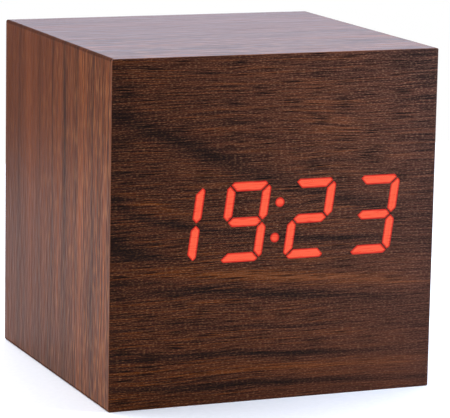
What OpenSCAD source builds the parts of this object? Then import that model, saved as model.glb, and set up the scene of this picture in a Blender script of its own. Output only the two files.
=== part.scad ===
// Cube alarm clock: a fibreboard case wrapped in wood-grain film, a red segment display that
// shines through the front film, and a moulded rear cover with three push buttons, a power
// socket and a hinged door over three AAA cells.
// Millimetres. X runs to the right of the front, Y from front to back, Z up.
// The origin is the middle of the base.

/* [Case] */
// Width of the case over the film
case_w = 62; // [61:0.5:75]
// Height of the case over the film
case_h = 62; // [60:0.5:75]
// Depth of the case, front film to rear edge
case_d = 58.3; // [55:0.1:72]
// Thickness of the fibreboard
board_t = 4; // [3.4:0.1:4.4]
// Thickness of the wood-grain film
film_t = 0.3; // [0.2:0.05:0.45]
// Radius of the four edges that the film is folded round
edge_r = 0.4; // [0.4:0.05:1]
// Radius of the rim round the front film
rim_r = 0.25; // [0.1:0.05:0.4]

/* [Display] */
// Hours that are lit
shown_hours = 19; // [0:1:23]
// Minutes that are lit
shown_minutes = 23; // [0:1:59]
// Height of a figure
digit_h = 14.3; // [12:0.1:15.5]
// Width of a figure
digit_w = 8.4; // [7.2:0.1:9]
// Distance from one figure to the next
digit_pitch = 12.5; // [11.6:0.1:12.9]
// Lean of the figures in degrees
digit_slant = 7.75; // [0:0.25:10]
// Width of a segment
stroke_w = 1.7; // [1.4:0.05:1.9]
// Dark line between two segments
stroke_gap = 0.2; // [0.15:0.05:0.4]
// Bevel across the outer corners of a figure
corner_cut = 1.2; // [0.8:0.05:1.4]
// Diameter of a colon dot
colon_d = 1.75; // [1.4:0.05:2.2]
// Distance between the colon's dots
colon_spread = 6.3; // [5:0.1:8]
// Height of the display's middle above the middle of the case
display_rise = 1.5; // [0:0.1:3]
// Offset of the display to the right of the middle
display_shift = 0.3; // [-0.4:0.1:0.4]
// Rim of the reflector beside the figures
reflector_rim = 1.2; // [0.8:0.1:1.4]
// Thickness of the diffuser sheet
diffuser_t = 0.2; // [0.1:0.05:0.4]

/* [Rear cover] */
// Thickness of the cover's plate
cover_t = 2.4; // [2.2:0.1:3]
// Depth of the cover's face below the rear edge of the case
cover_recess = 1.2; // [1:0.1:2]
// Width of the step in the boards that takes the cover
rebate_w = 2; // [1.5:0.1:2.4]
// Thickness of the moulded walls
moulded_wall = 1.2; // [0.9:0.1:1.3]
// Thickness of the battery door
door_t = 1.6; // [1.2:0.1:1.8]
// Overlap of the door on its seat
door_ledge = 0.9; // [0.6:0.1:1.2]
// Diameter of the door's hinge pins
hinge_pin_d = 1.2; // [0.8:0.1:1.4]

/* [Batteries] */
// Diameter of a cell
cell_d = 10.5; // [10:0.1:10.5]
// Length of a cell with its cap
cell_l = 44.5; // [43:0.1:44.7]
// Space between two cells
cell_gap = 0.4; // [0.2:0.1:0.8]
// Length of a contact spring under load
spring_l = 3.3; // [3:0.1:3.6]
// Wire of a contact spring
spring_wire = 0.5; // [0.3:0.05:0.5]
// Thickness of the contact strip
contact_t = 0.3; // [0.2:0.05:0.4]

/* [Buttons] */
// Diameter of a button
button_d = 5.2; // [4:0.1:5.6]
// Distance from one button to the next
button_pitch = 9; // [8.4:0.1:9.2]
// Height of a button above the cover's face
button_proud = 0.8; // [0.6:0.1:0.9]
// Travel of a button
button_travel = 0.3; // [0.2:0.05:0.5]

/* [Power socket] */
// Bore of the socket
socket_bore_d = 3.7; // [3.6:0.1:4.2]
// Diameter of the socket's centre pin
socket_pin_d = 1.3; // [1:0.1:1.4]
// Free length of the centre pin
socket_pin_l = 7.5; // [6:0.1:8]

/* [Circuit boards] */
// Thickness of the circuit boards
pcb_t = 1.6; // [1:0.1:1.6]
// Depth of the control board
control_d = 20; // [20:0.5:24]
// Width of the ribbon cable
ribbon_w = 12; // [8:0.5:13]
// Sag of the ribbon cable
ribbon_sag = 5; // [2:0.5:7]

/* [Fasteners] */
// Diameter of the screws
screw_d = 2; // [1.6:0.1:2.2]
// Diameter of the screw heads
head_d = 3.6; // [3:0.1:4]
// Height of the screw heads
head_h = 1.3; // [1:0.1:1.4]

/* [Hidden] */
$fn = 48;
// Overlap that fuses two shapes of one piece, and the depth a cut runs past a face
eps = 0.01;
past = 1;
// Clearances, each on one side of a piece
running_fit = 0.05;
slip_fit = 0.15;
cover_fit = 0.2;
door_fit = 0.2;
bay_fit = 0.3;
side_fit = 0.2;
window_fit = 0.3;

// Case: the board box, its inside and the planes along Y
box_w = case_w - 2 * film_t;
box_h = case_h - 2 * film_t;
in_w = box_w - 2 * board_t;
in_h = box_h - 2 * board_t;
skin_t = film_t + board_t;
fold_land = 0.05;
fold_r = max(edge_r - film_t, fold_land);
rim_land = 0.02;
rim = min(rim_r, film_t - rim_land);
mid_z = case_h / 2;
ceiling_z = case_h - skin_t;
y_front = -case_d / 2;
y_back = case_d / 2;
y_panel = y_front + film_t;
y_inside = y_panel + board_t;
y_plate = y_back - cover_recess;
y_seat = y_plate - cover_t;

// Figures: the segments that each numeral lights, and the ones that are lit now
FIGURES = ["abcdef", "bc", "abdeg", "abcdg", "bcfg", "acdfg", "acdefg", "abc", "abcdefg", "abcdfg"];
SHOWN = [floor(shown_hours / 10), shown_hours % 10, floor(shown_minutes / 10), shown_minutes % 10];
half_w = digit_w / 2;
half_h = digit_h / 2;
tip = stroke_gap / sqrt(2);
joint_x = half_w - stroke_w / 2;
cut_near = (corner_cut - tip) / 2;
cut_far = (corner_cut + tip) / 2;

// Display module
display_z = mid_z + display_rise;
lean = digit_h * tan(digit_slant);
reflector_head = 2.3;
reflector_w = 3 * digit_pitch + digit_w + lean + 2 * reflector_rim;
reflector_h = digit_h + 2 * reflector_head;
display_pcb_side = 0.6;
display_pcb_head = 5.2;
display_pcb_w = reflector_w + 2 * display_pcb_side;
display_pcb_h = reflector_h + 2 * display_pcb_head;
display_screw_inset = 2.5;
display_screw_x = display_pcb_w / 2 - display_screw_inset;
display_screw_z = display_pcb_h / 2 - display_screw_inset;
y_display_back = y_inside + pcb_t;
pilot_d = screw_d + 2 * running_fit;
panel_skin = 1.2;
panel_bite = board_t - panel_skin;
screw_spare = 0.4;
bar_led = [2, 0.8, 1.2];
dot_led = [0.8, 0.8, 0.8];
driver_l = 17.8;
driver_t = 2.3;
driver_w = 7.4;
driver_legs = 14;
driver_drop = 3;
leg_pitch = 1.27;
leg_w = 0.4;
leg_t = 0.3;
leg_knee = 0.6;
leg_foot = 1.5;
chip_standoff = 0.1;

// Battery bay, cells and door
cell_count = 3;
cell_r = cell_d / 2;
pad_h = 0.6;
bay_l = 2 * contact_t + spring_l + cell_l + pad_h;
bay_h = cell_count * cell_d + (cell_count - 1) * cell_gap + 2 * bay_fit;
bay_foot = 0.25;
z_bay = skin_t + bay_foot + moulded_wall;
z_bay_top = z_bay + bay_h;
z_roof = z_bay_top + moulded_wall;
y_door = y_plate - door_t;
y_cell = y_door - bay_fit - cell_r;
y_floor = y_cell - cell_r - bay_fit;
y_bay_back = y_floor - moulded_wall;
door_w = bay_l + 2 * door_ledge;
hinge_pin_l = 0.9;
hinge_land = 0.3;
hinge_half = door_w / 2 + door_fit + hinge_pin_l + hinge_land;
rebate_side = max(rebate_w, hinge_half + cover_fit - in_w / 2);
plate_w = in_w + 2 * (rebate_side - cover_fit);
plate_h = in_h + 2 * (rebate_w - cover_fit);
plate_r = 1;
saddle_t = 1.4;
saddle_h = 2.4;
saddle_x = 11;
knuckle_r = cover_t / 2;
hinge_rim = 1.6;
y_hinge = y_plate - knuckle_r;
z_hinge = mid_z - plate_h / 2 + hinge_rim + door_fit + knuckle_r;
z_door_top = z_bay_top + door_ledge;
door_grip = [14, 0.35, 0.8];
grip_count = 4;
grip_pitch = 2;
grip_drop = 5;
door_rib_end = 6;
door_rib = [bay_l - 2 * door_rib_end, 1.6, 1];
catch_r = 0.5;
catch_h = 0.12;
catch_x = 17;
notch_r = 7;
notch_rise = 2.6;
notch_d = 1.1;
tongue = [8, 1.6, 1.5];
tongue_x = 14;
tongue_back = 2.4;
sound_d = 1.2;
sound_pitch = [2.4, 2.1];

// Battery contacts and leads
contact_edge = 0.6;
contact_h = cell_d - 2 * contact_edge;
pad_base_d = 5;
pad_top_d = 3.4;
lug_w = 2.4;
lug_out = 2.2;
lead_r = 0.65;
lead_clear = 0.3;
lead_top_x = 17;
lead_steps = 14;
lead_y = y_bay_back - lead_clear - lead_r;
spring_turns = 3;
spring_steps = 36;
spring_base_r = 3.4;
spring_tip_r = 2.2;
spring_rise = spring_l - spring_wire - 2 * running_fit;

// Control board, with its components placed from its middle and its rear edge
post_h = 2;
post_r = 2.2;
post_inset = 2.3;
post_back = 4.2;
control_side = 8.5;
control_clear = 1;
control_w = 3 * button_pitch + 2 * control_side;
y_control_back = y_seat - control_clear;
y_control_front = y_control_back - control_d;
z_control = z_roof + post_h;
z_control_top = z_control + pcb_t;
post_x = control_w / 2 - post_inset;
post_front_y = y_bay_back + post_r;
post_back_y = y_seat - post_back;
chip_at = [-2.5, 9.5];
chip_l = 9.9;
chip_t = 1.6;
chip_w = 3.9;
chip_legs = 8;
crystal_at = [-14, 18.4];
crystal_d = 3;
crystal_l = 8;
buzzer_at = [15.5, 14.2];
buzzer_d = 9.6;
buzzer_h = 5;
buzzer_port_d = 1.6;
buzzer_port_h = 1;
microphone_at = [-12, 13.8];
microphone_d = 6;
microphone_h = 2.7;
microphone_port_d = 2.4;
microphone_port_h = 0.4;
capacitor_at = [9, 9];
capacitor_d = 5;
capacitor_h = 6;
groove_d = 4.5;
groove_h = 0.6;
groove_z = 0.8;

// Buttons and their switches
axis_h = 3.7;
z_buttons = z_control_top + axis_h;
flange_t = 0.8;
flange_w = 0.7;
flange_d = button_d + 2 * flange_w;
button_bevel = 0.4;
switch_size = [6.2, 3.6, 6.6];
plunger_d = 3.4;
plunger_out = 1.2;
plunger_in = 1.2;
stem_d = 2.6;
stem_l = 1.3;
y_flange = y_seat - running_fit - flange_t;
y_plunger = y_flange - stem_l;
y_switch = y_plunger - plunger_out;

// Power socket
socket_x = -1.5 * button_pitch;
socket_size = [8, 11, 7.2];
collar_wall = 1.1;
collar_d = socket_bore_d + 2 * collar_wall;
collar_sink = 0.6;
collar_l = cover_t - collar_sink;
socket_mouth = 1.2;
root_step = 0.3;
socket_root_d = socket_pin_d + 2 * root_step;
socket_tail = 0.4;
pin_bevel = 0.4;
y_socket = y_seat - running_fit;
y_socket_back = y_socket - socket_size[1];
y_pin_tip = y_socket + collar_l - socket_mouth;
y_pin_root = y_pin_tip - socket_pin_l;
leaf_w = 1.4;
leaf_set = 2;

// Glue blocks and rear screws
block = 8;
block_l = 14;
block_skin = 2;
rear_screw_x = in_w / 2 - block / 2;
rear_screw_z = ceiling_z - block / 2;
rear_screw_l = 10;
head_sink = head_h + 0.1;
recess = [0.7, 2.2];

// Ribbon cable and its headers
header_side = 1.2;
header = [ribbon_w + 2 * header_side, 6, 4.6];
header_drop = 1;
ribbon_t = 0.9;
ribbon_grip = 2;
ribbon_steps = 24;
z_ribbon_front = display_z + display_pcb_h / 2 - header[2] / 2 - header_drop;
z_ribbon_back = z_control_top + header[2] / 2;
y_ribbon_front = y_display_back + header[1];
y_ribbon_back = y_control_front;

// Extrusions of outlines drawn in X-Z, Y-Z and X-Y
module along_y(y0, y1) {
    translate([0, y1, 0]) rotate([90, 0, 0]) linear_extrude(y1 - y0) children();
}

module along_x(x0, x1) {
    translate([x0, 0, 0]) rotate([90, 0, 90]) linear_extrude(x1 - x0) children();
}

module along_z(z0, z1) {
    translate([0, 0, z0]) linear_extrude(z1 - z0) children();
}

// A box between two opposite corners, given in any order
module span(p, q) {
    low = [for (i = [0 : 2]) min(p[i], q[i])];
    high = [for (i = [0 : 2]) max(p[i], q[i])];
    translate(low) cube(high - low);
}

// A cylinder along Y from y0 to y1
module rod_y(y0, y1, d) {
    translate([0, y1, 0]) rotate([90, 0, 0]) cylinder(h = y1 - y0, d = d);
}

// A cylinder along X, centred on x = 0
module rod_x(l, d) {
    rotate([0, 90, 0]) cylinder(h = l, d = d, center = true);
}

// A cylinder along Y that narrows by its bevel at the far end
module bevelled_rod_y(y0, y1, d, bevel) {
    rod_y(y0, y1 - bevel, d);
    translate([0, y1 - bevel, 0]) rotate([-90, 0, 0]) cylinder(h = bevel, d1 = d, d2 = d - 2 * bevel);
}

module rounded_rect(w, h, r) {
    square([w - 2 * r, h], center = true);
    square([w, h - 2 * r], center = true);
    for (x = [-1, 1], y = [-1, 1]) {
        translate([x * (w / 2 - r), y * (h / 2 - r)]) circle(r);
    }
}

module film_outline() {
    translate([0, mid_z]) rounded_rect(case_w, case_h, edge_r);
}

module box_outline() {
    translate([0, mid_z]) rounded_rect(box_w, box_h, fold_r);
}

// A strip as thick as the film, centred on its length, with its two front corners round
module rimmed_strip(l) {
    translate([y_front + rim, -l / 2]) square([film_t - rim, l]);
    translate([y_front, rim - l / 2]) square([film_t, l - 2 * rim]);
    for (s = [-1, 1]) {
        translate([y_front + rim, s * (l / 2 - rim)]) circle(rim);
    }
}

// Segments of one figure, drawn upright about its middle
module top_bar() {
    polygon([
        [corner_cut - half_w, half_h], [half_w - corner_cut, half_h],
        [half_w - cut_far, half_h - cut_near], [half_w - stroke_w - tip, half_h - stroke_w],
        [stroke_w + tip - half_w, half_h - stroke_w], [cut_far - half_w, half_h - cut_near]
    ]);
}

module upper_right_bar() {
    polygon([
        [joint_x, tip], [half_w, stroke_w / 2 + tip], [half_w, half_h - corner_cut],
        [half_w - cut_near, half_h - cut_far], [half_w - stroke_w, half_h - stroke_w - tip],
        [half_w - stroke_w, stroke_w / 2 + tip]
    ]);
}

module middle_bar() {
    reach = joint_x - tip;
    shoulder = reach - stroke_w / 2;
    polygon([
        [-reach, 0], [-shoulder, stroke_w / 2], [shoulder, stroke_w / 2],
        [reach, 0], [shoulder, -stroke_w / 2], [-shoulder, -stroke_w / 2]
    ]);
}

module segment(letter) {
    if (letter == "a") top_bar();
    if (letter == "b") upper_right_bar();
    if (letter == "c") mirror([0, 1]) upper_right_bar();
    if (letter == "d") mirror([0, 1]) top_bar();
    if (letter == "e") rotate(180) upper_right_bar();
    if (letter == "f") mirror([1, 0]) upper_right_bar();
    if (letter == "g") middle_bar();
}

// Middle of a segment, and the turn of a lamp that lies along it
function segment_middle(letter) =
    letter == "a" ? [0, half_h - stroke_w / 2] :
    letter == "b" ? [joint_x, half_h / 2] :
    letter == "c" ? [joint_x, -half_h / 2] :
    letter == "d" ? [0, stroke_w / 2 - half_h] :
    letter == "e" ? [-joint_x, -half_h / 2] :
    letter == "f" ? [-joint_x, half_h / 2] : [0, 0];
function segment_turn(letter) = search(letter, "adg") == [] ? 90 - digit_slant : 0;

function digit_x(i) = display_shift + (i - 1.5) * digit_pitch;
function leaned(p) = [p[0] + p[1] * tan(digit_slant), p[1]];
function colon_dot(s) = leaned([0, s * colon_spread / 2]) + [display_shift, 0];

// Leans an outline to the right, in proportion to its height
module lean_over() {
    multmatrix([[1, tan(digit_slant), 0, 0], [0, 1, 0, 0], [0, 0, 1, 0], [0, 0, 0, 1]]) children();
}

module figure_outlines(letters) {
    for (i = [0 : 3]) {
        translate([digit_x(i), display_z]) lean_over() for (letter = letters[i]) segment(letter);
    }
}

module colon_outlines() {
    for (s = [-1, 1]) {
        translate(colon_dot(s) + [0, display_z]) circle(d = colon_d);
    }
}

module lit_outlines() {
    figure_outlines([for (n = SHOWN) FIGURES[n]]);
    colon_outlines();
}

module display_outline(w, h) {
    translate([display_shift, display_z]) square([w, h], center = true);
}

// Case: film, front and the four mitred boards
module wrap_film() {
    color("saddlebrown") along_y(y_panel, y_back) difference() {
        film_outline();
        box_outline();
    }
}

module front_film() {
    color("saddlebrown") difference() {
        intersection() {
            along_y(y_front, y_panel) film_outline();
            translate([0, 0, mid_z]) along_x(-case_w / 2, case_w / 2) rimmed_strip(case_h);
            along_z(0, case_h) rotate(90) mirror([0, 1]) rimmed_strip(case_w);
        }
        along_y(y_front - past, y_panel + past) lit_outlines();
    }
}

module lit_segments() {
    color("orangered") along_y(y_front, y_panel) lit_outlines();
}

module at_display_screws() {
    for (x = [-1, 1], z = [-1, 1]) {
        translate([display_shift + x * display_screw_x, 0, display_z + z * display_screw_z]) children();
    }
}

module front_board() {
    color("burlywood") difference() {
        along_y(y_panel, y_inside) difference() {
            box_outline();
            display_outline(reflector_w + 2 * window_fit, reflector_h + 2 * window_fit);
        }
        at_display_screws() rod_y(y_inside - panel_bite, y_inside + past, pilot_d);
    }
}

// One wall of the sleeve, its outer face on the line v = 0, mitred at both ends
module mitred_outline(l) {
    polygon([[-l / 2, 0], [l / 2, 0], [l / 2 - board_t, -board_t], [board_t - l / 2, -board_t]]);
}

// A wall with the step for the rear cover; its outline is the child
module wall_board() {
    color("burlywood") difference() {
        along_y(y_inside, y_back) intersection() {
            box_outline();
            children();
        }
        along_y(y_seat, y_back + past) translate([0, mid_z])
            square([in_w + 2 * rebate_side, in_h + 2 * rebate_w], center = true);
    }
}

module top_board() {
    wall_board() translate([0, case_h - film_t]) mitred_outline(box_w);
}

module at_tongues() {
    for (s = [-1, 1]) {
        translate([s * tongue_x, y_seat - tongue_back - tongue[1] / 2, 0]) children();
    }
}

module bottom_board() {
    pocket = [tongue[0] + 2 * bay_fit, tongue[1] + 2 * bay_fit];
    difference() {
        wall_board() translate([0, film_t]) rotate(180) mitred_outline(box_w);
        at_tongues() along_z(skin_t - tongue[2] - bay_fit, skin_t + past) square(pocket, center = true);
    }
}

// Housings that the side boards get where the case is too narrow for the display or the bay
module housings() {
    bay_half = bay_l / 2 + moulded_wall + side_fit;
    display_half = display_pcb_w / 2 + side_fit;
    display_rear = y_display_back + head_h + side_fit;
    span([-bay_half, y_bay_back - lug_out - side_fit, z_bay - moulded_wall - side_fit],
        [bay_half, y_seat + eps, z_roof + side_fit]);
    span([display_shift - display_half, y_inside - past, display_z - display_pcb_h / 2 - side_fit],
        [display_shift + display_half, display_rear, display_z + display_pcb_h / 2 + side_fit]);
}

module left_board() {
    difference() {
        wall_board() translate([film_t - case_w / 2, mid_z]) rotate(90) mitred_outline(box_h);
        housings();
    }
}

module right_board() {
    difference() {
        wall_board() translate([case_w / 2 - film_t, mid_z]) rotate(-90) mitred_outline(box_h);
        housings();
    }
}

module at_rear_screws() {
    for (s = [-1, 1]) {
        translate([s * rear_screw_x, 0, rear_screw_z]) children();
    }
}

module glue_blocks() {
    color("tan") difference() {
        along_y(y_seat - block_l, y_seat) for (s = [-1, 1]) {
            translate([s * in_w / 2, ceiling_z]) mirror([s > 0 ? 1 : 0, 0])
                polygon([[0, 0], [block, 0], [block, -block / 2], [block / 2, -block], [0, -block]]);
        }
        at_rear_screws() rod_y(y_seat - block_l + block_skin, y_seat + past, pilot_d);
    }
}

// A pan-head screw: the head's underside is at y = 0 and the shank points to -Y
module screw_y(l) {
    difference() {
        union() {
            rod_y(0, head_h, head_d);
            rod_y(-l, eps, screw_d);
        }
        for (turn = [0, 90]) {
            translate([0, head_h, 0]) rotate([0, turn, 0])
                cube([recess[0], head_h, recess[1]], center = true);
        }
    }
}

// Display module: diffuser, reflector with a well for each segment, board, lamps and driver
module diffuser_sheet() {
    color("white") along_y(y_panel, y_panel + diffuser_t) display_outline(reflector_w, reflector_h);
}

module segment_reflector() {
    color("white") along_y(y_panel + diffuser_t, y_inside) difference() {
        display_outline(reflector_w, reflector_h);
        figure_outlines([for (i = [0 : 3]) "abcdefg"]);
        colon_outlines();
    }
}

module display_board() {
    color("darkgreen") difference() {
        along_y(y_inside, y_display_back) display_outline(display_pcb_w, display_pcb_h);
        at_display_screws() rod_y(y_inside - past, y_display_back + past, pilot_d + slip_fit);
    }
}

// A lamp that stands on the display board's front at a point of the display
module led(size, at, turn) {
    translate([at[0], y_inside - size[1] / 2, display_z + at[1]])
        rotate([0, -turn, 0]) cube(size, center = true);
}

module segment_leds() {
    color("gold") {
        for (i = [0 : 3], letter = "abcdefg") {
            led(bar_led, leaned(segment_middle(letter)) + [digit_x(i), 0], segment_turn(letter));
        }
        for (s = [-1, 1]) {
            led(dot_led, colon_dot(s), 0);
        }
    }
}

// A flat chip that stands on the plane y = 0, with a row of gull-wing legs along each long side
module chip(l, t, w, legs) {
    span([-l / 2, chip_standoff, -w / 2], [l / 2, t, w / 2]);
    for (side = [-1, 1], i = [0 : legs - 1]) {
        translate([(i - (legs - 1) / 2) * leg_pitch, 0, side * w / 2]) {
            span([-leg_w / 2, t / 2 - leg_t, -side * leg_t], [leg_w / 2, t / 2, side * leg_knee]);
            span([-leg_w / 2, 0, side * (leg_knee - leg_t)], [leg_w / 2, t / 2, side * leg_knee]);
            span([-leg_w / 2, 0, side * (leg_knee - leg_t)], [leg_w / 2, leg_t, side * leg_foot]);
        }
    }
}

module driver_chip() {
    color("dimgray") translate([display_shift, y_display_back, display_z - driver_drop])
        chip(driver_l, driver_t, driver_w, driver_legs);
}

// A cable header that stands on the plane y = 0, with its mouth towards +Y
module header_block() {
    slot = [ribbon_w + 2 * slip_fit, ribbon_t + 2 * slip_fit];
    difference() {
        span([-header[0] / 2, 0, -header[2] / 2], [header[0] / 2, header[1], header[2] / 2]);
        along_y(header[1] - ribbon_grip - slip_fit, header[1] + past) square(slot, center = true);
    }
}

module display_header() {
    color("ivory") translate([0, y_display_back, z_ribbon_front]) header_block();
}

module display_screws() {
    color("silver") at_display_screws() translate([0, y_display_back, 0])
        screw_y(pcb_t + panel_bite - screw_spare);
}

// Ribbon cable: level at both headers and hanging between them
function ribbon_z(t) = z_ribbon_front + (z_ribbon_back - z_ribbon_front) * t * t * (3 - 2 * t)
    - ribbon_sag * pow(sin(180 * t), 2);
function ribbon_line() = concat(
    [[y_ribbon_front - ribbon_grip, z_ribbon_front]],
    [for (i = [0 : ribbon_steps]) let(t = i / ribbon_steps)
        [y_ribbon_front + (y_ribbon_back - y_ribbon_front) * t, ribbon_z(t)]],
    [[y_ribbon_back + ribbon_grip, z_ribbon_back]]
);

module ribbon_cable() {
    line = ribbon_line();
    last = len(line) - 1;
    color("gray") along_x(-ribbon_w / 2, ribbon_w / 2) polygon(concat(
        [for (p = line) p + [0, ribbon_t / 2]],
        [for (i = [last : -1 : 0]) line[i] - [0, ribbon_t / 2]]
    ));
}

// Rear cover: plate, battery bay, posts for the control board and tongues that hook the base
function cell_z(i) = z_bay + bay_fit + cell_r + i * (cell_d + cell_gap);
function button_x(i) = (1.5 - i) * button_pitch;

// Where the door lies and turns, its hinge bores included
module door_space() {
    side = door_w / 2 + door_fit;
    span([-side, y_hinge, z_hinge - knuckle_r - door_fit], [side, y_plate + past, z_hinge + eps]);
    span([-side, y_door - running_fit, z_hinge], [side, y_plate + past, z_door_top + door_fit]);
    translate([0, y_hinge, z_hinge]) {
        rod_x(2 * side, 2 * (knuckle_r + door_fit));
        rod_x(2 * (side + hinge_pin_l), hinge_pin_d + 2 * running_fit);
    }
}

// Cross ribs on the bay's floor, hollowed to cradle the cells
module cell_saddles() {
    for (s = [-1, 1]) {
        along_x(s * saddle_x - saddle_t / 2, s * saddle_x + saddle_t / 2) difference() {
            translate([y_floor - moulded_wall / 2, z_bay - moulded_wall / 2])
                square([saddle_h + moulded_wall / 2, bay_h + moulded_wall]);
            for (i = [0 : cell_count - 1]) {
                translate([y_cell, cell_z(i)]) circle(cell_r + slip_fit);
            }
        }
    }
}

module at_posts(y) {
    for (s = [-1, 1]) {
        translate([s * post_x, y, 0]) children();
    }
}

module posts(y) {
    at_posts(y) along_z(z_roof - eps, z_control) circle(post_r);
}

module lug_slot(side, i) {
    translate([side * (bay_l - contact_t) / 2, y_floor - moulded_wall / 2, cell_z(i)])
        cube([contact_t + slip_fit, 2 * moulded_wall, lug_w + 2 * slip_fit], center = true);
}

module sound_holes() {
    for (row = [0, 1], i = [-2 : 2 - row]) {
        translate([(i + row / 2) * sound_pitch[0], 0, rear_screw_z + (row - 0.5) * sound_pitch[1]])
            plate_hole(sound_d);
    }
}

module plate_hole(d) {
    rod_y(y_seat - past, y_plate + past, d);
}

module cover_cuts() {
    span([-bay_l / 2, y_floor, z_bay], [bay_l / 2, y_plate + past, z_bay_top]);
    door_space();
    at_rear_screws() {
        plate_hole(screw_d + 2 * slip_fit);
        rod_y(y_plate - head_sink, y_plate + past, head_d + 4 * slip_fit);
    }
    for (i = [0 : 2]) {
        translate([button_x(i), 0, z_buttons]) plate_hole(button_d + 2 * slip_fit);
    }
    translate([socket_x, 0, z_buttons]) plate_hole(collar_d + 2 * slip_fit);
    translate([0, 0, z_door_top + notch_rise - notch_r])
        rod_y(y_plate - notch_d, y_plate + past, 2 * notch_r);
    at_posts(post_front_y) along_z(z_roof, z_control + past) circle(d = pilot_d);
    lug_slot(-1, 0);
    lug_slot(1, cell_count - 1);
    sound_holes();
}

module rear_cover() {
    color("#1c1c1e") {
        difference() {
            union() {
                along_y(y_seat, y_plate) translate([0, mid_z]) rounded_rect(plate_w, plate_h, plate_r);
                span([-bay_l / 2 - moulded_wall, y_bay_back, z_bay - moulded_wall],
                    [bay_l / 2 + moulded_wall, y_seat + eps, z_roof]);
                posts(post_front_y);
                posts(post_back_y);
                at_tongues() along_z(skin_t - tongue[2], z_bay - moulded_wall / 2)
                    square([tongue[0], tongue[1]], center = true);
            }
            cover_cuts();
        }
        cell_saddles();
    }
}

module rear_screws() {
    color("silver") at_rear_screws() translate([0, y_plate - head_sink, 0]) screw_y(rear_screw_l);
}

// Battery door: a plate with a round lower edge that turns on two pins, two catches on top, and
// inside it ribs that lie between the cells
module battery_door() {
    color("#1c1c1e") {
        span([-door_w / 2, y_door, z_hinge], [door_w / 2, y_plate, z_door_top]);
        translate([0, y_hinge, z_hinge]) {
            rod_x(door_w, 2 * knuckle_r);
            rod_x(door_w + 2 * hinge_pin_l, hinge_pin_d);
        }
        for (i = [0 : grip_count - 1]) {
            translate([0, y_plate, z_door_top - grip_drop - grip_pitch * i])
                cube([door_grip[0], 2 * door_grip[1], door_grip[2]], center = true);
        }
        for (i = [1 : cell_count - 1]) {
            translate([0, y_door, (cell_z(i - 1) + cell_z(i)) / 2])
                cube([door_rib[0], 2 * door_rib[1], door_rib[2]], center = true);
        }
        for (s = [-1, 1]) {
            translate([s * catch_x, y_door + door_t / 2, z_door_top - catch_r + catch_h]) sphere(catch_r);
        }
    }
}

// Control board, its screws and components
module on_control(at) {
    translate([at[0], y_control_back - at[1], z_control_top]) children();
}

module control_board() {
    color("darkgreen") difference() {
        along_z(z_control, z_control_top)
            translate([-control_w / 2, y_control_front]) square([control_w, control_d]);
        at_posts(post_front_y) along_z(z_control - past, z_control_top + past) circle(d = pilot_d + slip_fit);
    }
}

module control_screws() {
    color("silver") at_posts(post_front_y) translate([0, 0, z_control_top]) rotate([90, 0, 0])
        screw_y(pcb_t + post_h - screw_spare);
}

module controller_chip() {
    color("dimgray") on_control(chip_at) rotate([90, 0, 0]) chip(chip_l, chip_t, chip_w, chip_legs);
}

module crystal() {
    color("silver") on_control(crystal_at) translate([0, 0, crystal_d / 2 + running_fit])
        rod_x(crystal_l, crystal_d);
}

// A disc with a round hollow in its top
module round_can(d, h, hollow_d, hollow_h) {
    difference() {
        cylinder(h = h, d = d);
        translate([0, 0, h - hollow_h]) cylinder(h = hollow_h + past, d = hollow_d);
    }
}

module buzzer() {
    color("#202022") on_control(buzzer_at) round_can(buzzer_d, buzzer_h, buzzer_port_d, buzzer_port_h);
}

module microphone() {
    color("gainsboro") on_control(microphone_at)
        round_can(microphone_d, microphone_h, microphone_port_d, microphone_port_h);
}

module capacitor() {
    groove_top = groove_z + groove_h;
    color("navy") on_control(capacitor_at) {
        cylinder(h = groove_z, d = capacitor_d);
        translate([0, 0, groove_z - eps]) cylinder(h = groove_h + 2 * eps, d = groove_d);
        translate([0, 0, groove_top]) cylinder(h = capacitor_h - groove_top, d = capacitor_d);
    }
}

module control_header() {
    color("ivory") translate([0, y_control_front + header[1], z_ribbon_back])
        rotate([0, 0, 180]) header_block();
}

// Power socket: body with a collar through the cover, centre pin and side contact
module at_socket() {
    translate([socket_x, 0, z_buttons]) children();
}

module power_socket() {
    leaf_side = leaf_w / 2 + running_fit;
    leaf_floor = -socket_bore_d / 2 - contact_t - running_fit;
    color("#1c1c1e") at_socket() difference() {
        union() {
            span([-socket_size[0] / 2, y_socket_back, -axis_h],
                [socket_size[0] / 2, y_socket, socket_size[2] - axis_h]);
            rod_y(y_socket - eps, y_socket + collar_l, collar_d);
        }
        rod_y(y_pin_root, y_socket + collar_l + past, socket_bore_d);
        rod_y(y_socket_back - past, y_pin_root + eps, socket_root_d + 2 * running_fit);
        span([-leaf_side, y_pin_root, leaf_floor], [leaf_side, y_socket - leaf_set, 0]);
    }
}

module socket_pin() {
    color("silver") at_socket() {
        rod_y(y_socket_back - socket_tail, y_pin_root, socket_root_d);
        bevelled_rod_y(y_pin_root - eps, y_pin_tip, socket_pin_d, pin_bevel);
    }
}

module socket_contact() {
    leaf_top = -socket_bore_d / 2;
    color("gold") at_socket() span([-leaf_w / 2, y_pin_root + running_fit, leaf_top - contact_t],
        [leaf_w / 2, y_socket - leaf_set - running_fit, leaf_top]);
}

// Push switches, with the plungers and caps that move
module switch_body(i) {
    depth = plunger_in + button_travel + running_fit;
    color("#2a2a2c") translate([button_x(i), y_switch, z_control_top]) difference() {
        translate([-switch_size[0] / 2, -switch_size[1], 0]) cube(switch_size);
        translate([0, 0, axis_h]) rod_y(-depth, past, plunger_d + 2 * running_fit);
    }
}

module plunger(i) {
    color("white") translate([button_x(i), 0, z_buttons])
        rod_y(y_switch - plunger_in, y_plunger, plunger_d);
}

module button_cap(i) {
    color("#303033") translate([button_x(i), 0, z_buttons]) {
        rod_y(y_plunger, y_flange + eps, stem_d);
        rod_y(y_flange, y_flange + flange_t, flange_d);
        bevelled_rod_y(y_flange, y_plate + button_proud, button_d, button_bevel);
    }
}

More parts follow.
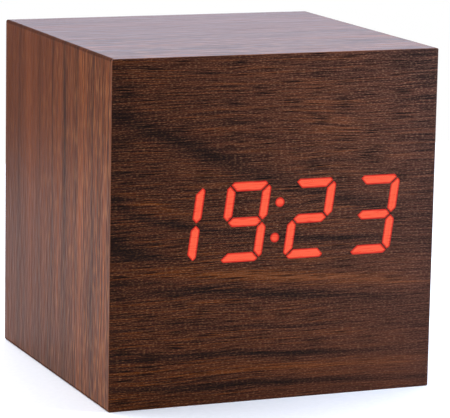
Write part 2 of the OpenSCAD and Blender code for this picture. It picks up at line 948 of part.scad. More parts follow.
// Cells lie across the bay, each turned end for end from the one below
function plus_side(i) = i % 2 == 0 ? 1 : -1;

module cell(i) {
    cap_l = 1;
    cap_r = 1.9;
    bevel = 0.4;
    cap_bevel = 0.2;
    can_l = cell_l - cap_l;
    plus_x = bay_l / 2 - contact_t - pad_h;
    color("firebrick") translate([0, y_cell, cell_z(i)]) rotate([0, plus_side(i) * 90, 0])
        translate([0, 0, plus_x - cell_l]) rotate_extrude() polygon([
            [0, 0], [cell_r - bevel, 0], [cell_r, bevel], [cell_r, can_l - bevel], [cell_r - bevel, can_l],
            [cap_r, can_l], [cap_r, cell_l - cap_bevel], [cap_r - cap_bevel, cell_l], [0, cell_l]
        ]);
}

// Contact strips on the bay's end walls; side is -1 on the left and 1 on the right
module contact_strip(side, low, high) {
    x = side * bay_l / 2;
    span([x, low[0], low[1]], [x - side * contact_t, high[0], high[1]]);
}

module contact_plate(side, first, last) {
    contact_strip(side, [y_cell - contact_h / 2, cell_z(first) - contact_h / 2],
        [y_cell + contact_h / 2, cell_z(last) + contact_h / 2]);
}

module contact_lug(side, i) {
    contact_strip(side, [y_bay_back - lug_out, cell_z(i) - lug_w / 2], [y_cell, cell_z(i) + lug_w / 2]);
}

// The raised pad that a cell's cap rests on
module contact_pad(side, i) {
    root = contact_t / 2;
    translate([side * (bay_l / 2 - contact_t), y_cell, cell_z(i)]) rotate([0, -side * 90, 0])
        translate([0, 0, -root]) cylinder(h = root + pad_h, d1 = pad_base_d, d2 = pad_top_d);
}

module negative_terminal() {
    color("silver") {
        contact_plate(-1, 0, 0);
        contact_lug(-1, 0);
    }
}

module positive_terminal() {
    top = cell_count - 1;
    color("silver") {
        contact_plate(1, top, top);
        contact_lug(1, top);
        contact_pad(1, top);
    }
}

module right_link() {
    color("silver") {
        contact_plate(1, 0, 1);
        contact_pad(1, 0);
    }
}

module left_link() {
    color("silver") {
        contact_plate(-1, 1, 2);
        contact_pad(-1, 1);
    }
}

// Tubes swept along points: each ring stands square to the path
function unit(v) = v / norm(v);
function heading(path, i) = unit(path[min(i + 1, len(path) - 1)] - path[max(i - 1, 0)]);
function ring(path, i, r, sides, up) =
    let(t = heading(path, i), a = unit(cross(up, t)), b = cross(t, a))
    [for (k = [0 : sides - 1]) path[i] + r * (cos(360 * k / sides) * a + sin(360 * k / sides) * b)];

module tube(path, r, sides, up) {
    last = len(path) - 1;
    points = [for (i = [0 : last]) each ring(path, i, r, sides, up)];
    walls = [for (i = [0 : last - 1], k = [0 : sides - 1])
        let(a = i * sides + k, b = i * sides + (k + 1) % sides)
        each [[a, a + sides, b], [b, a + sides, b + sides]]];
    start = [for (k = [1 : sides - 2]) [0, k, k + 1]];
    end = [for (k = [1 : sides - 2]) [last * sides, last * sides + k + 1, last * sides + k]];
    polyhedron(points = points, faces = concat(walls, start, end));
}

// A conical coil that narrows from its strip to the end of the cell
function spring_point(s) =
    let(r = spring_base_r + (spring_tip_r - spring_base_r) * s, turn = 360 * spring_turns * s)
    [spring_wire / 2 + running_fit + spring_rise * s, r * cos(turn), r * sin(turn)];
spring_path = [for (i = [0 : spring_steps]) spring_point(i / spring_steps)];
half_turn = spring_steps / spring_turns / 2;
spring_gap = min([for (i = [0 : spring_steps], j = [0 : spring_steps])
    if (j - i > half_turn) norm(spring_path[i] - spring_path[j])]) - spring_wire;
echo(spring_gap = spring_gap);

module contact_springs() {
    color("silver") for (i = [0 : cell_count - 1]) {
        translate([-plus_side(i) * (bay_l / 2 - contact_t), y_cell, cell_z(i)])
            rotate([0, 0, plus_side(i) > 0 ? 0 : 180]) tube(spring_path, spring_wire / 2, 6, [1, 0, 0]);
    }
}

// A lead from a terminal's lug up to the control board
function lead_path(side, i) =
    let(x0 = side * (bay_l / 2 - contact_t - lead_r - running_fit), x1 = side * lead_top_x,
        z0 = cell_z(i) - lug_w / 2, z1 = z_control - running_fit)
    [for (k = [0 : lead_steps]) let(t = k / lead_steps)
        [x0 + (x1 - x0) * t * t * (3 - 2 * t), lead_y, z0 + (z1 - z0) * t]];

module negative_lead() {
    color("black") tube(lead_path(-1, 0), lead_r, 8, [0, 1, 0]);
}

module positive_lead() {
    color("red") tube(lead_path(1, cell_count - 1), lead_r, 8, [0, 1, 0]);
}

wrap_film();
front_film();
lit_segments();
front_board();
top_board();
bottom_board();
left_board();
right_board();
glue_blocks();
diffuser_sheet();
segment_reflector();
display_board();
segment_leds();
driver_chip();
display_header();
display_screws();
ribbon_cable();
rear_cover();
rear_screws();
battery_door();
control_board();
control_screws();
controller_chip();
crystal();
buzzer();
microphone();
capacitor();
control_header();
power_socket();
socket_pin();
socket_contact();
switch_body(0);  // set_switch
switch_body(1);  // up_switch
switch_body(2);  // down_switch
plunger(0);  // set_plunger
plunger(1);  // up_plunger
plunger(2);  // down_plunger
button_cap(0);  // set_button
button_cap(1);  // up_button
button_cap(2);  // down_button
cell(0);  // cell_bottom
cell(1);  // cell_middle
cell(2);  // cell_top
negative_terminal();
positive_terminal();
right_link();
left_link();
contact_springs();
negative_lead();
positive_lead();
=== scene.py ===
"""Looks of the cube alarm clock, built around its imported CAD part."""

import math

import bmesh
import bpy
from mathutils import Matrix, Vector


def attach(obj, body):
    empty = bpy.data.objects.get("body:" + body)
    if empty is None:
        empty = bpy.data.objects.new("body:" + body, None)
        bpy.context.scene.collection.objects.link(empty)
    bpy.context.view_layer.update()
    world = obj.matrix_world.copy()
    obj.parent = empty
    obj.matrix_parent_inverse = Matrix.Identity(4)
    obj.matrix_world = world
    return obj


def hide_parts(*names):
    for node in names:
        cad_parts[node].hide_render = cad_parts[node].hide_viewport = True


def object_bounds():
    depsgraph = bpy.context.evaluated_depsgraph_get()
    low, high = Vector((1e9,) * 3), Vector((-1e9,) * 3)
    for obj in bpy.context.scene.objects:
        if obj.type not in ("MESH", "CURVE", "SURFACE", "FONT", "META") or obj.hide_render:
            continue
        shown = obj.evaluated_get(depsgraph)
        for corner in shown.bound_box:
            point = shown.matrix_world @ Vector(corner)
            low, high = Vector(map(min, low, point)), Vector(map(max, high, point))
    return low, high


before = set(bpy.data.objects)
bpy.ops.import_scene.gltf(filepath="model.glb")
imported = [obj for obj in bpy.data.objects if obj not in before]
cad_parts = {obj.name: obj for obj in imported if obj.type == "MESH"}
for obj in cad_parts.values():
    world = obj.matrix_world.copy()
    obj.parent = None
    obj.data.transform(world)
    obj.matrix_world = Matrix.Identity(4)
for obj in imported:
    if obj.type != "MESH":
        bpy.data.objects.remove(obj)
cad_box = [list(corner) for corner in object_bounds()]


# Case boards: a sleeve of four mitred fibreboards, with a fifth glued over its front and two
# blocks in the top corners that take the rear screws. Fibreboard is wood dust pressed with resin,
# so it is a mealy tan without grain, darker and furrier where a saw has cut it.
def linear(code):
    """An sRGB hex colour as the linear values that sockets take."""
    channels = [int(code[i : i + 2], 16) / 255 for i in (0, 2, 4)]
    return [c / 12.92 if c <= 0.04045 else ((c + 0.055) / 1.055) ** 2.4 for c in channels] + [1.0]


def put(owner, kind, inputs=None, stops=(), **settings):
    """Adds a node with its settings, its colour stops, and its inputs as values or as links."""
    node = owner.node_tree.nodes.new(kind)
    for name, value in settings.items():
        setattr(node, name, value)
    for i, (place, code) in enumerate(stops):
        stop = node.color_ramp.elements[i] if i < 2 else node.color_ramp.elements.new(place)
        stop.position = place
        stop.color = linear(code)
    for name, value in (inputs or {}).items():
        if isinstance(value, bpy.types.NodeSocket):
            owner.node_tree.links.new(value, node.inputs[name])
        else:
            node.inputs[name].default_value = value
    return node


def begin(name):
    """A new material, and a point on its piece in millimetres."""
    material = bpy.data.materials.new(name)
    material.use_nodes = True
    material.node_tree.nodes.clear()
    place = put(material, "ShaderNodeTexCoord").outputs["Object"]
    point = put(material, "ShaderNodeMapping", {"Vector": place, "Scale": (1000, 1000, 1000)}).outputs[0]
    return material, point


def dress(material, shader, *pieces):
    """Closes a material with its shader and gives it to CAD nodes or to new pieces."""
    put(material, "ShaderNodeOutputMaterial", {"Surface": shader.outputs[0]})
    for piece in pieces:
        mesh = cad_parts[piece].data if isinstance(piece, str) else piece.data
        mesh.materials.clear()
        mesh.materials.append(material)


# The real dust is finer than 0.1 mm, so its grit is drawn coarser. These sizes and the ones of the
# other patterns are in millimetres.
grit_size = 0.45
clump_size = 2.9
fibreboard, point = begin("fibreboard_sawn")
grit = put(fibreboard, "ShaderNodeTexNoise",
           {"Vector": point, "Scale": 1 / grit_size, "Detail": 5, "Roughness": 0.7})
clumps = put(fibreboard, "ShaderNodeTexNoise", {"Vector": point, "Scale": 1 / clump_size, "Detail": 2})
meal = put(fibreboard, "ShaderNodeMath", {0: grit.outputs[0], 1: clumps.outputs[0]}, operation="ADD")
mean = put(fibreboard, "ShaderNodeMath", {0: meal.outputs[0], 1: 0.5}, operation="MULTIPLY")
tan = put(fibreboard, "ShaderNodeValToRGB", {"Fac": mean.outputs[0]},
          stops=((0.34, "6a4b31"), (0.5, "8a6846"), (0.66, "a9875f")))
fur = put(fibreboard, "ShaderNodeBump", {"Strength": 0.5, "Distance": 0.00015, "Height": grit.outputs[0]})
dress(fibreboard,
      put(fibreboard, "ShaderNodeBsdfPrincipled",
          {"Base Color": tan.outputs[0], "Roughness": 0.86, "Normal": fur.outputs[0]}),
      "front_board", "top_board", "bottom_board", "left_board", "right_board", "glue_blocks")


# Light box: a moulded reflector with a well for each segment, behind a thin diffuser sheet. Both
# are polystyrene filled with titanium white, as are the plungers of the push switches. Polished
# moulds leave it smooth, with a faint flow mottle.
mottle_size = 4.0
styrene, point = begin("white_styrene")
flow = put(styrene, "ShaderNodeTexNoise", {"Vector": point, "Scale": 1 / mottle_size, "Detail": 3})
white = put(styrene, "ShaderNodeValToRGB", {"Fac": flow.outputs[0]}, stops=((0.3, "e4e2da"), (0.7, "f4f3ee")))
satin = put(styrene, "ShaderNodeMapRange", {"Value": flow.outputs[0], "To Min": 0.32, "To Max": 0.5})
dress(styrene,
      put(styrene, "ShaderNodeBsdfPrincipled",
          {"Base Color": white.outputs[0], "Roughness": satin.outputs[0], "IOR": 1.59}),
      "diffuser_sheet", "segment_reflector", "set_plunger", "up_plunger", "down_plunger")


# Circuit boards: the display board is screwed to the back of the front board, and the control board
# to the posts of the rear cover. Glass-fibre laminate under green solder mask: the copper tracks
# show through the mask as paler lines, with tinned dots where they end.
track_length, track_spacing, track_width = 3.6, 1.15, 0.13
pad_spacing, pad_radius, pad_rim = 2.5, 0.3, 0.075
laminate, point = begin("solder_mask_green")
slanted = put(laminate, "ShaderNodeMapping", {"Vector": point, "Rotation": (math.radians(45), 0, 0)})
tracks = put(laminate, "ShaderNodeTexBrick",
             {"Vector": slanted.outputs[0],
              "Color1": linear("0c4a2a"), "Color2": linear("0f5631"), "Mortar": linear("2c8254"),
              "Scale": 1, "Mortar Size": track_width, "Mortar Smooth": 0.1, "Brick Width": track_length,
              "Row Height": track_spacing})
pads = put(laminate, "ShaderNodeTexVoronoi", {"Vector": point, "Scale": 1 / pad_spacing})
tin = put(laminate, "ShaderNodeMapRange",
          {"Value": pads.outputs["Distance"], "From Min": pad_radius / pad_spacing,
           "From Max": (pad_radius + pad_rim) / pad_spacing, "To Min": 1, "To Max": 0})
mask = put(laminate, "ShaderNodeMix",
           {0: tin.outputs[0], 6: tracks.outputs[0], 7: linear("c9c6bd")}, data_type="RGBA")
dress(laminate,
      put(laminate, "ShaderNodeBsdfPrincipled",
          {"Base Color": mask.outputs[2], "Metallic": tin.outputs[0], "Roughness": 0.34}),
      "display_board", "control_board")


# Lamps: a bar-shaped chip lamp in each well, soldered to the front of the display board.
# Cast epoxy, cream where the diffusing powder has settled and clearer at the top.
powder_size = 0.33  # drawn coarser than the real powder, which the eye can't part
resin, point = begin("cast_epoxy_cream")
powder = put(resin, "ShaderNodeTexNoise", {"Vector": point, "Scale": 1 / powder_size, "Detail": 2})
cream = put(resin, "ShaderNodeValToRGB", {"Fac": powder.outputs[0]},
            stops=((0.35, "e8cf9a"), (0.65, "f5e8c8")))
dress(resin,
      put(resin, "ShaderNodeBsdfPrincipled",
          {"Base Color": cream.outputs[0], "Roughness": 0.22, "IOR": 1.55}),
      "segment_leds")


# Chips: the display's driver and the controller, each soldered flat by two rows of legs.
# Black moulding epoxy, matt from its spark-eroded mould, on tinned copper legs. The legs are
# what stands out beyond the sides of the body.
spark_grain = 0.125  # drawn coarser than the real mould's
chips = (("driver_chip", 2, 29.4, 3.75), ("controller_chip", 1, 15.05, 2.0))
for name, legs_axis, body_middle, body_half in chips:
    moulding, point = begin(name + "_epoxy")
    side = put(moulding, "ShaderNodeSeparateXYZ", {0: point}).outputs[legs_axis]
    out = put(moulding, "ShaderNodeMath", {0: side, 1: body_middle}, operation="SUBTRACT")
    away = put(moulding, "ShaderNodeMath", {0: out.outputs[0]}, operation="ABSOLUTE")
    leg = put(moulding, "ShaderNodeMath", {0: away.outputs[0], 1: body_half}, operation="GREATER_THAN")
    grain = put(moulding, "ShaderNodeTexNoise", {"Vector": point, "Scale": 1 / spark_grain, "Detail": 2})
    black = put(moulding, "ShaderNodeValToRGB", {"Fac": grain.outputs[0]},
                stops=((0.3, "1d1d1f"), (0.7, "2d2d30")))
    body = put(moulding, "ShaderNodeMix",
               {0: leg.outputs[0], 6: black.outputs[0], 7: linear("c4c2bc")}, data_type="RGBA")
    rough = put(moulding, "ShaderNodeMapRange", {"Value": leg.outputs[0], "To Min": 0.62, "To Max": 0.3})
    dress(moulding,
          put(moulding, "ShaderNodeBsdfPrincipled",
              {"Base Color": body.outputs[2], "Metallic": leg.outputs[0], "Roughness": rough.outputs[0]}),
          name)


# Headers: the two sockets that the ribbon cable is pressed into.
# Natural nylon, a little yellow, with the dull skin of a fast moulding.
skin_size = 1.25
nylon, point = begin("natural_nylon")
skin = put(nylon, "ShaderNodeTexNoise", {"Vector": point, "Scale": 1 / skin_size, "Detail": 3})
ivory = put(nylon, "ShaderNodeValToRGB", {"Fac": skin.outputs[0]}, stops=((0.3, "ddd3b8"), (0.7, "efe7d2")))
dress(nylon,
      put(nylon, "ShaderNodeBsdfPrincipled", {"Base Color": ivory.outputs[0], "Roughness": 0.5, "IOR": 1.53}),
      "display_header", "control_header")


# Screws, contact strips, crystal can and the socket's centre pin: steel with a bright nickel plate.
# Rolled or turned first, so the plate follows fine lines, and it is a little yellower than chrome.
line_width, line_length = 0.17, 1.7  # drawn coarser than real rolling lines
nickel, point = begin("nickel_plated_steel")
laid = put(nickel, "ShaderNodeMapping",
           {"Vector": point, "Scale": (1 / line_width, 1 / line_length, 1 / line_width)})
drawn = put(nickel, "ShaderNodeTexNoise", {"Vector": laid.outputs[0], "Scale": 1, "Detail": 3})
plate = put(nickel, "ShaderNodeValToRGB", {"Fac": drawn.outputs[0]}, stops=((0.3, "b4b0a6"), (0.7, "d2cfc6")))
lines = put(nickel, "ShaderNodeMapRange", {"Value": drawn.outputs[0], "To Min": 0.2, "To Max": 0.42})
dress(nickel,
      put(nickel, "ShaderNodeBsdfPrincipled",
          {"Base Color": plate.outputs[0], "Metallic": 1, "Roughness": lines.outputs[0]}),
      "display_screws", "rear_screws", "control_screws", "crystal", "socket_pin", "negative_terminal",
      "positive_terminal", "right_link", "left_link")


# Ribbon cable: ten stranded conductors moulded side by side in grey vinyl, with the first one marked
# red. It leaves the display's header level, hangs, and goes into the control board's header. Soft
# vinyl looks dull, because its plasticiser comes to the surface as a bloom.
def tube(name, lines, radius):
    """One piece made of round tubes along lines of points, given in metres."""
    curve = bpy.data.curves.new(name, "CURVE")
    curve.dimensions = "3D"
    curve.bevel_depth = radius
    curve.bevel_resolution = 3
    curve.use_fill_caps = True
    for line in lines:
        spline = curve.splines.new("POLY")
        spline.points.add(len(line) - 1)
        for spot, place in zip(spline.points, line):
            spot.co = (*place, 1)
    drawn = bpy.data.objects.new(name + "_path", curve)
    mesh = bpy.data.meshes.new_from_object(drawn)
    bpy.data.objects.remove(drawn)
    mesh.shade_smooth()
    piece = bpy.data.objects.new(name, mesh)
    bpy.context.scene.collection.objects.link(piece)
    return piece


ribbon_front = Vector((0, -0.01725, 0.04385))
ribbon_back = Vector((0, 0.00455, 0.04575))
ribbon_sag = 0.005
ribbon_steps = 32
wire_count, wire_pitch, wire_radius = 10, 0.0012, 0.00044
half_span = (wire_count - 1) / 2 * wire_pitch
into_header = Vector((0, 0.0019, 0))
course = [ribbon_front - into_header]
for i in range(ribbon_steps + 1):
    t = i / ribbon_steps
    y = ribbon_front.y + (ribbon_back.y - ribbon_front.y) * t
    z = ribbon_front.z + (ribbon_back.z - ribbon_front.z) * t * t * (3 - 2 * t)
    course.append(Vector((0, y, z - ribbon_sag * math.sin(math.pi * t) ** 2)))
course.append(ribbon_back + into_header)
wires = [[p + Vector((k * wire_pitch - half_span, 0, 0)) for p in course] for k in range(wire_count)]
ribbon = tube("ribbon_wires", wires, wire_radius)
web = bmesh.new()
web.from_mesh(ribbon.data)
edge = [web.verts.new(p - Vector((half_span, 0, 0))) for p in course]
threads = [web.edges.new(pair) for pair in zip(edge, edge[1:])]
pulled = bmesh.ops.extrude_edge_only(web, edges=threads)
bmesh.ops.translate(web, vec=(2 * half_span, 0, 0),
                    verts=[v for v in pulled["geom"] if isinstance(v, bmesh.types.BMVert)])
web.to_mesh(ribbon.data)
web.free()

bloom_size = 0.7
first_wire_edge = 1000 * (wire_pitch / 2 - half_span)
vinyl, point = begin("ribbon_vinyl")
across = put(vinyl, "ShaderNodeSeparateXYZ", {0: point}).outputs[0]
first = put(vinyl, "ShaderNodeMath", {0: across, 1: first_wire_edge}, operation="LESS_THAN")
dull = put(vinyl, "ShaderNodeTexNoise", {"Vector": point, "Scale": 1 / bloom_size, "Detail": 2})
grey = put(vinyl, "ShaderNodeValToRGB", {"Fac": dull.outputs[0]}, stops=((0.3, "77787b"), (0.7, "8c8d90")))
jacket = put(vinyl, "ShaderNodeMix", {0: first.outputs[0], 6: grey.outputs[0], 7: linear("9a241c")},
             data_type="RGBA")
dress(vinyl,
      put(vinyl, "ShaderNodeBsdfPrincipled", {"Base Color": jacket.outputs[2], "Roughness": 0.48}),
      ribbon)
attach(ribbon, "case")
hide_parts("ribbon_cable")


# Wood-grain film: one strip folded round the sleeve, its grain running along the strip, and a
# separate sheet on the front with the grain across. Printed and embossed vinyl in dark walnut:
# broad bands, thin streaks and short dark pores, under a satin skin that only shines at a slant.
def walnut(film, along, across, rings, strokes, dye, long_by, wide_by, bite):
    """Colour, pores and streaks of walnut, from lengths in millimetres along its fibres, across them
    and across its growth rings.

    Strokes are flares and dark veins, each as middle, half length, half width, tilt in degrees and
    tone. The dye tints the print, long_by and wide_by coarsen its streaks, pores and flecks, and
    bite is how strongly these show.
    """
    sway_length, sway_width = 26, 9
    ground_tone, band_tone, streak_tone = 0.535, 0.1, 0.27
    pore_fade, pore_stain = 0.2, 0.7
    flat = put(film, "ShaderNodeCombineXYZ", {"X": along, "Y": across})
    laid = put(film, "ShaderNodeMapping",
               {"Vector": flat.outputs[0], "Scale": (1 / sway_length, 1 / sway_width, 1)})
    sway = put(film, "ShaderNodeTexNoise",
               {"Vector": laid.outputs[0], "Scale": 1, "Detail": 2, "Roughness": 0.4})
    drift = put(film, "ShaderNodeMapRange",
                {"Value": sway.outputs[0], "From Min": 0.25, "From Max": 0.75, "To Min": -0.5, "To Max": 0.5})
    swayed = []
    for straight in (across, rings):
        moved = put(film, "ShaderNodeMath", {0: straight, 1: drift.outputs[0]}, operation="ADD")
        swayed.append(put(film, "ShaderNodeCombineXYZ", {"X": along, "Y": moved.outputs[0]}).outputs[0])
    bent, ringed = swayed

    # Length and width of the bands, the streaks, the pores, the patches where pores crowd and the pale
    # flecks. A real pore is about 0.1 mm wide, too fine to show, so the fine ones are drawn coarser.
    layers = []
    for base, long, wide, detail in ((ringed, 70, 2.4, 3),
                                     (bent, 9 * long_by, 0.26 * wide_by, 2),
                                     (bent, 2.4 * long_by, 0.16 * wide_by, 1),
                                     (bent, 20, 3, 2),
                                     (bent, 0.25 * long_by * wide_by, 0.17 * wide_by, 1)):
        laid = put(film, "ShaderNodeMapping", {"Vector": base, "Scale": (1 / long, 1 / wide, 1)})
        layers.append(put(film, "ShaderNodeTexNoise",
                          {"Vector": laid.outputs[0], "Scale": 1, "Detail": detail}).outputs[0])
    bands, streaks, dashes, patches, glints = layers

    tone = put(film, "ShaderNodeMath", {0: bands, 1: band_tone, 2: ground_tone}, operation="MULTIPLY_ADD")
    streak = put(film, "ShaderNodeMapRange",
                 {"Value": streaks, "To Min": -streak_tone, "To Max": streak_tone})
    tone = put(film, "ShaderNodeMath", {0: streak.outputs[0], 1: bite, 2: tone.outputs[0]},
               operation="MULTIPLY_ADD")
    for middle, long, wide, tilt, weight in strokes:
        laid = put(film, "ShaderNodeMapping",
                   {"Vector": ringed, "Location": (*middle, 0), "Rotation": (0, 0, math.radians(tilt)),
                    "Scale": (long, wide, 1)}, vector_type="TEXTURE")
        blot = put(film, "ShaderNodeTexGradient", {"Vector": laid.outputs[0]},
                   gradient_type="QUADRATIC_SPHERE")
        tone = put(film, "ShaderNodeMath", {0: blot.outputs[1], 1: weight, 2: tone.outputs[0]},
                   operation="MULTIPLY_ADD")
    heart = put(film, "ShaderNodeValToRGB", {"Fac": tone.outputs[0]},
                stops=((0.34, "2b1a16"), (0.48, "482920"), (0.6, "643828"), (0.74, "834829"),
                       (0.92, "9c5c3a")))

    crowd = put(film, "ShaderNodeMapRange",
                {"Value": patches, "From Min": 0.35, "From Max": 0.65, "To Min": 0.5, "To Max": 0.47})
    full = put(film, "ShaderNodeMath", {0: crowd.outputs[0], 1: pore_fade}, operation="ADD")
    pores = put(film, "ShaderNodeMapRange",
                {"Value": dashes, "From Min": crowd.outputs[0], "From Max": full.outputs[0]})
    flecks = put(film, "ShaderNodeMapRange",
                 {"Value": glints, "From Min": 0.5, "From Max": 0.7, "To Min": 0, "To Max": 0.46})
    open_wood = put(film, "ShaderNodeMapRange",
                    {"Value": tone.outputs[0], "From Min": 0.3, "From Max": 0.58, "To Min": 0.25,
                     "To Max": 1})
    flecks = put(film, "ShaderNodeMath", {0: flecks.outputs[0], 1: open_wood.outputs[0]},
                 operation="MULTIPLY")
    flecks = put(film, "ShaderNodeMath", {0: flecks.outputs[0], 1: bite}, operation="MULTIPLY")
    wood = put(film, "ShaderNodeMix", {0: flecks.outputs[0], 6: heart.outputs[0], 7: linear("b07c5a")},
               data_type="RGBA")
    stained = put(film, "ShaderNodeMath", {0: pores.outputs[0], 1: pore_stain}, operation="MULTIPLY")
    stained = put(film, "ShaderNodeMath", {0: stained.outputs[0], 1: bite}, operation="MULTIPLY")
    wood = put(film, "ShaderNodeMix", {0: stained.outputs[0], 6: wood.outputs[2], 7: linear("180c08")},
               data_type="RGBA")
    wood = put(film, "ShaderNodeMix", {0: 1, 6: wood.outputs[2], 7: linear(dye)}, data_type="RGBA",
               blend_type="MULTIPLY")
    return wood.outputs[2], pores.outputs[0], streaks


def film_shader(film, wood, pores, streaks, ripple, worn):
    """The satin vinyl over the print: embossed pores, a faint ripple, a gloss that follows the streaks
    and goes dull in the pores and where the film is worn."""
    pore_matt, worn_matt = 0.05, 0.5
    deep = put(film, "ShaderNodeMath", {0: pores, 1: -1, 2: streaks}, operation="MULTIPLY_ADD")
    relief = put(film, "ShaderNodeMath", {0: deep.outputs[0], 1: ripple}, operation="ADD")
    emboss = put(film, "ShaderNodeBump", {"Strength": 0.25, "Distance": 0.00006, "Height": relief.outputs[0]})
    sheen = put(film, "ShaderNodeMapRange", {"Value": streaks, "To Min": 0.3, "To Max": 0.44})
    matt = put(film, "ShaderNodeMath", {0: pores, 1: pore_matt, 2: sheen.outputs[0]},
               operation="MULTIPLY_ADD")
    dull = put(film, "ShaderNodeMath", {0: worn, 1: worn_matt, 2: matt.outputs[0]},
               operation="MULTIPLY_ADD")
    return put(film, "ShaderNodeBsdfPrincipled",
               {"Base Color": wood, "Roughness": dull.outputs[0], "Normal": emboss.outputs[0],
                "Specular IOR Level": 0.045})


fold_spacing = 62.0
fold_painted_shade = 0.5
ripple_length, ripple_width, ripple_height = 5, 1.3, 10
# Dark lines, pale lines and then broad shades, all along the strip.
stripes = (
    ((-50, -19.7), 110, 1.7, 0, -0.2), ((-50, -5), 110, 2, 0, -0.18), ((-50, 1.8), 110, 1, 0, -0.15),
    ((-50, -11.3), 110, 0.8, 0, -0.12), ((-50, -23), 110, 0.7, 0, -0.12), ((-50, 9), 110, 2, 0, -0.07),
    ((-50, 21), 110, 2, 0, -0.07),
    ((-62, -13.5), 90, 3, 0, 0.1), ((-62, -26), 90, 2.6, 0, 0.08), ((-62, -1.5), 90, 2, 0, 0.08),
    ((-62, 15), 90, 3, 0, 0.06),
    ((-62, 24), 70, 16, 0, -0.06), ((-95, 6), 50, 50, 0, -0.1), ((-50, -20), 34, 12, 0, 0.06),
)
# The right side has like ones, a little further back.
stripes += tuple(((-x, y + 3.5), long, wide, tilt, tone) for (x, y), long, wide, tilt, tone in stripes)
wrap, point = begin("walnut_film_wrap")
spot = put(wrap, "ShaderNodeSeparateXYZ", {0: point})
drop = put(wrap, "ShaderNodeMath", {0: fold_spacing, 1: spot.outputs[2]}, operation="SUBTRACT")
hand = put(wrap, "ShaderNodeMath", {0: spot.outputs[0]}, operation="SIGN")
along = put(wrap, "ShaderNodeMath", {0: hand.outputs[0], 1: drop.outputs[0], 2: spot.outputs[0]},
            operation="MULTIPLY_ADD")
bite = put(wrap, "ShaderNodeMapRange",
           {"Value": spot.outputs[1], "From Min": -29, "From Max": 12, "To Min": 1.2, "To Max": 0.25})
wood, pores, streaks = walnut(wrap, along.outputs[0], spot.outputs[1], spot.outputs[1], stripes,
                              dye="ffefc6", long_by=7, wide_by=2, bite=bite.outputs[0])
# The folds lie half a spacing from the middle of the top and then one spacing apart. There the
# film is stretched, so it is dull, and its colour is darkened into a line of painted shade.
reach = put(wrap, "ShaderNodeMath", {0: along.outputs[0]}, operation="ABSOLUTE")
lap = put(wrap, "ShaderNodeMath", {0: reach.outputs[0], 1: fold_spacing}, operation="MODULO")
off = put(wrap, "ShaderNodeMath", {0: lap.outputs[0], 1: fold_spacing / 2}, operation="SUBTRACT")
off = put(wrap, "ShaderNodeMath", {0: off.outputs[0]}, operation="ABSOLUTE")
crease = put(wrap, "ShaderNodeMapRange",
             {"Value": off.outputs[0], "From Min": 0.3, "From Max": 0.6, "To Min": 1, "To Max": 0})
# Painted shade: the colour along each fold is mixed towards dark brown.
dark = put(wrap, "ShaderNodeMath", {0: crease.outputs[0], 1: fold_painted_shade}, operation="MULTIPLY")
wood = put(wrap, "ShaderNodeMix", {0: dark.outputs[0], 6: wood, 7: linear("23110a")}, data_type="RGBA")
flow = put(wrap, "ShaderNodeCombineXYZ", {"X": along.outputs[0], "Y": spot.outputs[1]})
laid = put(wrap, "ShaderNodeMapping",
           {"Vector": flow.outputs[0], "Scale": (1 / ripple_length, 1 / ripple_width, 1)})
wave = put(wrap, "ShaderNodeTexNoise", {"Vector": laid.outputs[0], "Scale": 1, "Detail": 2})
ripple = put(wrap, "ShaderNodeMath", {0: wave.outputs[0], 1: ripple_height}, operation="MULTIPLY")
dress(wrap, film_shader(wrap, wood.outputs[2], pores, streaks, ripple.outputs[0], crease.outputs[0]),
      "wrap_film")

front_face, cut_edge = -29.13, -28.95
painted_sheen_by_height = 0.35
# How much the growth rings lean, and how that changes between two heights.
ring_lean = 0.03
lean_changes = ((0, 24, 0.06), (28, 38, 0.2), (38, 47, 0.1), (52, 62, -0.2))
veneer = (
    ((-16, 40.2), 48, 3.8, 0, -0.22), ((-30, 42), 11, 5, 0, -0.12), ((10, 29.8), 36, 1.6, 1.5, -0.25),
    ((-20, 29.1), 24, 0.9, 2.6, -0.28), ((-22, 30.6), 18, 0.9, 5, 0.14), ((14, 38.5), 18, 3, -4, -0.17),
    ((-28, 25.6), 14, 1.8, -6, -0.31), ((2, 22.4), 60, 2.4, -0.6, 0.27), ((-4, 19.0), 60, 1.7, -0.5, -0.27),
    ((-8, 13.5), 34, 1.1, 0, -0.14), ((-4, 8.4), 60, 1.3, 0.5, -0.3), ((0, 5.8), 50, 1.8, 0.5, 0.14),
    ((-4, 2.9), 60, 1.3, 0, -0.32), ((27, 66), 13, 6, 0, -0.1), ((8, 56), 24, 12, 0, 0.05),
    ((-38, 30), 40, 60, 0, -0.13), ((-29, 48), 12, 8, 0, -0.08), ((26, 6), 22, 10, 0, 0.07),
    ((24, 36), 16, 8, 0, -0.06), ((33, 34), 11, 70, 0, -0.14), ((24, 17), 16, 8, 0, -0.07),
)
front, point = begin("walnut_film_front")
spot = put(front, "ShaderNodeSeparateXYZ", {0: point})
lean = ring_lean
for low, high, change in lean_changes:
    turn = put(front, "ShaderNodeMapRange",
               {"Value": spot.outputs[2], "From Min": low, "From Max": high, "To Min": 0, "To Max": change})
    lean = put(front, "ShaderNodeMath", {0: turn.outputs[0], 1: lean}, operation="ADD").outputs[0]
flow = put(front, "ShaderNodeMath", {0: spot.outputs[0], 1: lean, 2: spot.outputs[2]},
           operation="MULTIPLY_ADD")
slope = put(front, "ShaderNodeMath", {0: spot.outputs[2], 1: spot.outputs[0]}, operation="SUBTRACT")
bite = put(front, "ShaderNodeMapRange",
           {"Value": slope.outputs[0], "From Min": -20, "From Max": 30, "To Min": 0.75, "To Max": 1.45})
wood, pores, streaks = walnut(front, spot.outputs[0], spot.outputs[2], flow.outputs[0], veneer,
                              dye="b4b4b4", long_by=2.2, wide_by=1, bite=bite.outputs[0])
